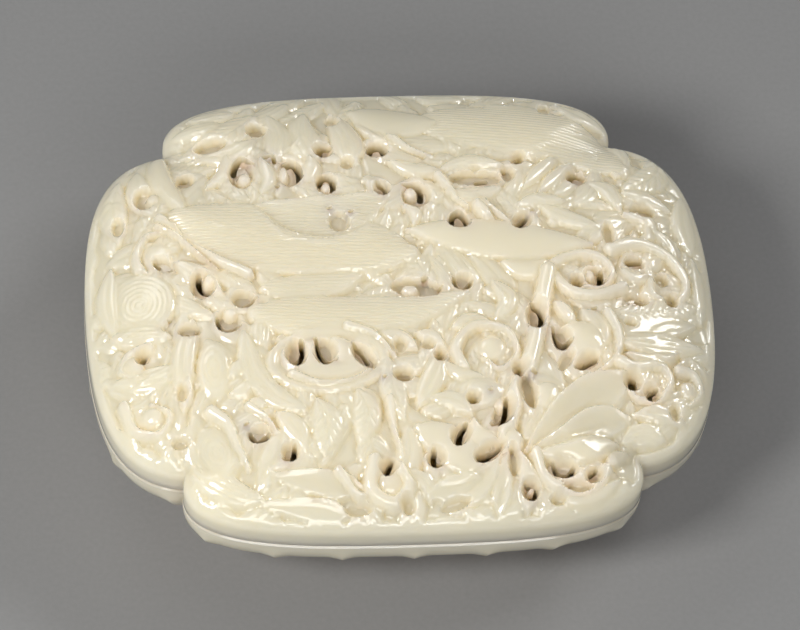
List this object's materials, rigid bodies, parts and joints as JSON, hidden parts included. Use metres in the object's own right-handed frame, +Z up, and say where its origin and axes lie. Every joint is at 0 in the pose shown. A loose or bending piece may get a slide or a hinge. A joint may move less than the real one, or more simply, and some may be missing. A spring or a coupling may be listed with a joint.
{
  "type": "jade box with a pierced lid",
  "caption": "Pale jade box on a low foot, four-lobed in plan, with a domed lift-off lid carved in pierced relief with leaves, scrolls and a flower.",
  "frame": {"origin": "on the ground, under the middle of the box's length, where the foot rests", "axes": "+X to the right along the length of the box, +Y to the back, +Z up through the lid"},
  "size_m": [0.14, 0.1152, 0.0413],
  "materials": {
    "lid_jade": "polished greenish white jade",
    "base_jade": "polished greenish white jade"
  },
  "bodies": {
    "root": {"lid": "lid_jade", "base": "base_jade"}
  },
  "joints": []
}
